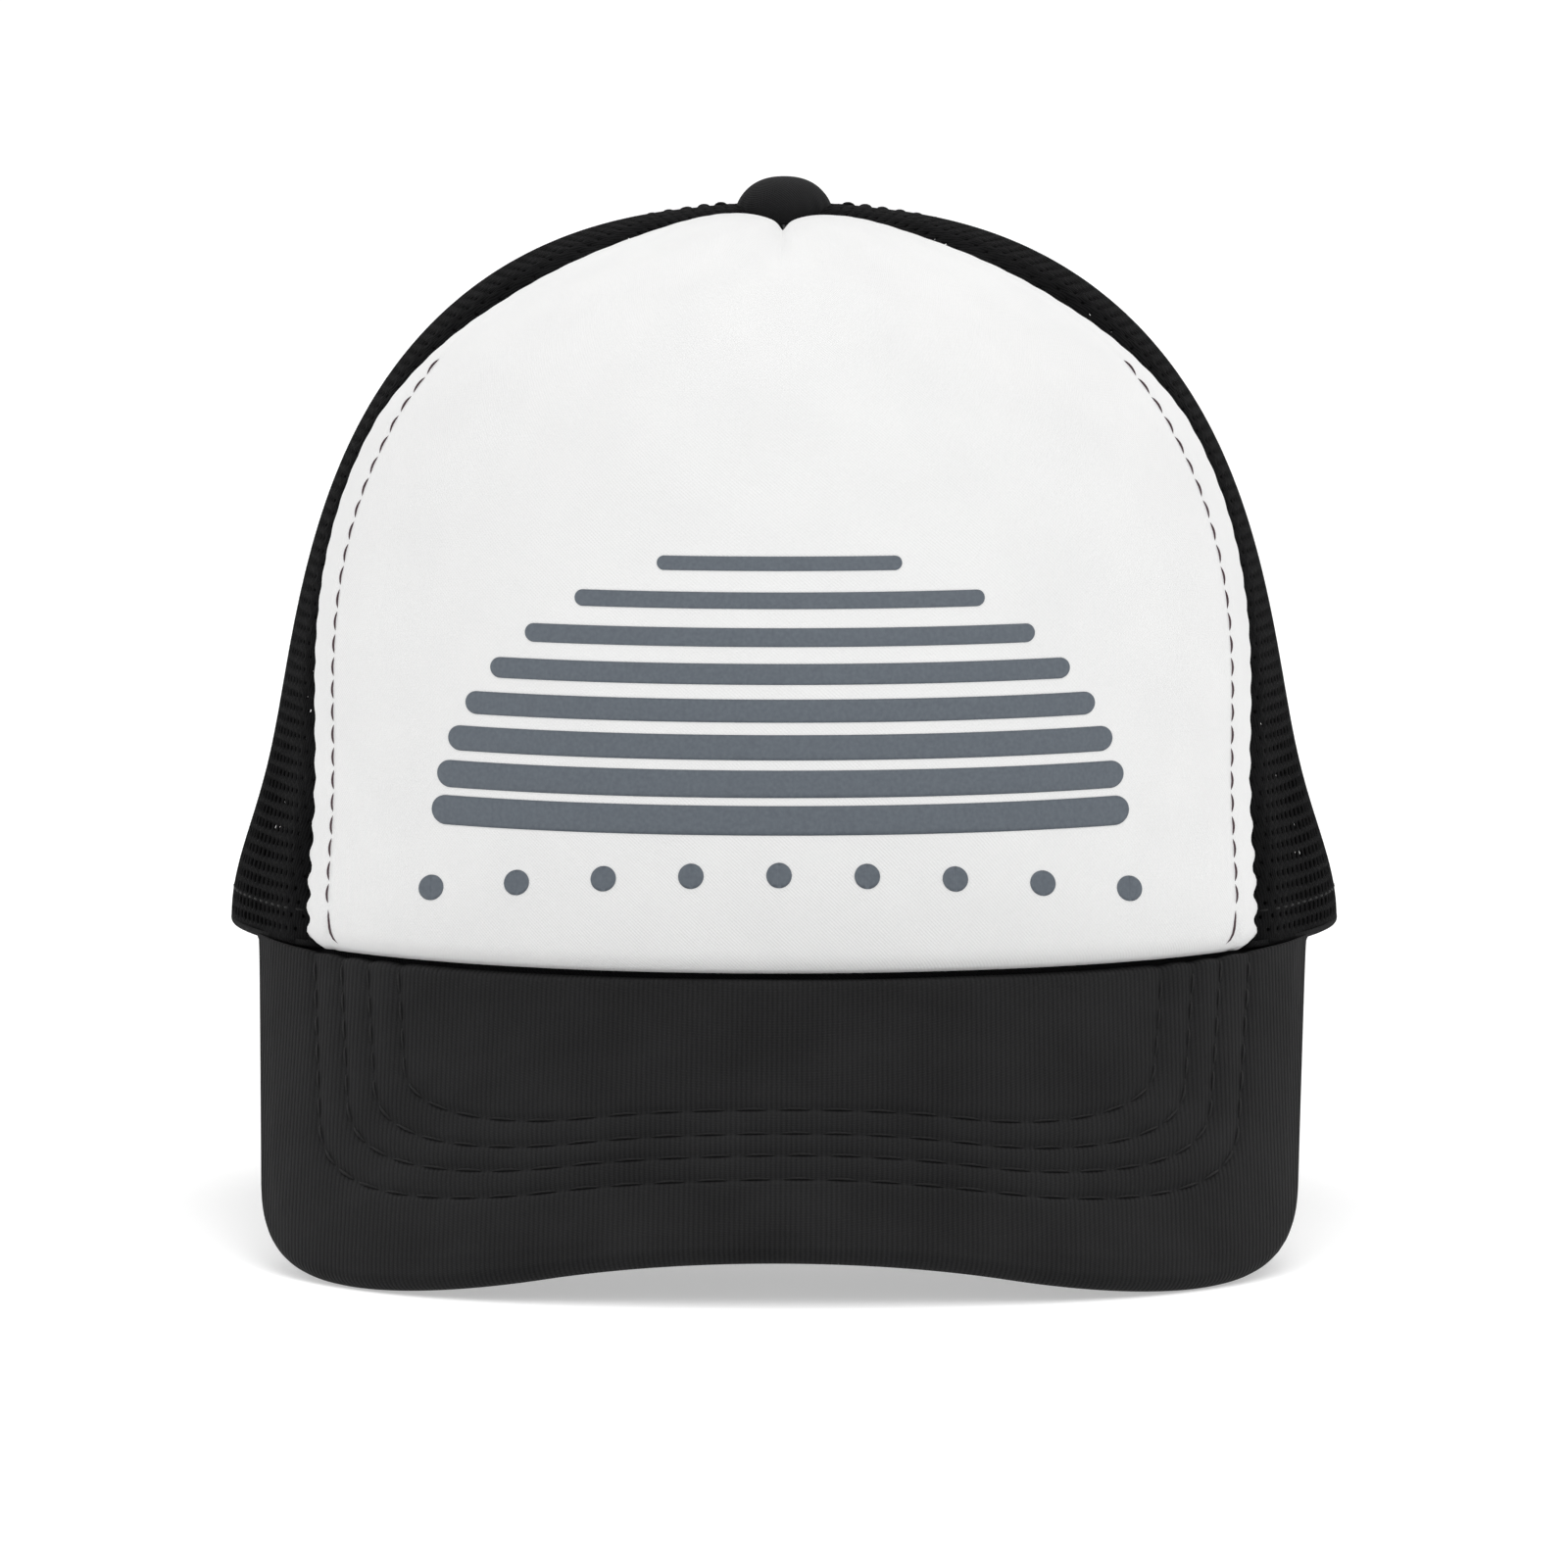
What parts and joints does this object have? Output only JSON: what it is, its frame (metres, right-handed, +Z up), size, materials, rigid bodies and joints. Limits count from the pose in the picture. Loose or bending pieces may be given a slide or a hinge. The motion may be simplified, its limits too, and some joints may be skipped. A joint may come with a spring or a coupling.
{
  "type": "trucker cap",
  "caption": "Trucker cap with a foam-backed white front, black mesh sides and back, a curved black bill and a plastic snap closure over a half-moon opening.",
  "frame": {"origin": "middle of the head opening, in the plane of the crown's rim", "axes": "+Z up along the crown towards the button, -Y forward along the bill, +X to the wearer's left"},
  "size_m": [0.19, 0.2382, 0.1794],
  "materials": {
    "white_polyester": "fine plain-weave polyester over foam, matte",
    "white_foam": "open-cell laminating foam, matte",
    "black_mesh": "knitted polyester mesh with round-cornered openings, slight sheen",
    "black_tape": "fine twill tape, matte",
    "bill_cloth": "ribbed twill, matte",
    "bill_board": "moulded polyethylene sheet",
    "sweatband_cloth": "soft twill, matte",
    "button_cloth": "fine twill pulled over the button",
    "button_metal": "plain stamped steel",
    "strap_plastic": "moulded polyethylene, satin with a fine grain",
    "label_satin": "blank satin label"
  },
  "bodies": {
    "cap": {"front_face_fabric": "white_polyester", "front_foam": "white_foam", "mesh_side_left": "black_mesh", "mesh_side_right": "black_mesh", "mesh_rear_left": "black_mesh", "mesh_rear_right": "black_mesh", "rear_opening_binding": "black_tape", "front_seam_tape_left": "black_tape", "front_seam_tape_right": "black_tape", "side_seam_tape_left": "black_tape", "side_seam_tape_right": "black_tape", "rear_seam_tape": "black_tape", "rim_tape_left": "black_tape", "rim_tape_right": "black_tape", "sweatband": "sweatband_cloth", "button_cover": "button_cloth", "button_shell": "button_metal", "button_rivet": "button_metal", "button_backing": "button_metal", "bill_board": "bill_board", "bill_top_cover": "bill_cloth", "bill_under_cover": "bill_cloth", "hole_strap_sewn_end": "strap_plastic", "peg_strap_sewn_end": "strap_plastic", "care_label": "label_satin"},
    "hole_strap": {"hole_strap": "strap_plastic"},
    "peg_strap": {"peg_strap": "strap_plastic"}
  },
  "joints": [
    {"name": "hole_strap_bend", "type": "hinge", "parent": "cap", "child": "hole_strap", "pos_m": [0.03589, 0.08454, 0.0105], "axis": [0, 0, -1], "range_deg": [0, 80], "stiffness_Nm_per_rad": 0.02},
    {"name": "peg_strap_bend", "type": "hinge", "parent": "cap", "child": "peg_strap", "pos_m": [-0.03529, 0.08316, 0.0105], "axis": [0, 0, -1], "range_deg": [0, 25], "stiffness_Nm_per_rad": 0.02}
  ]
}
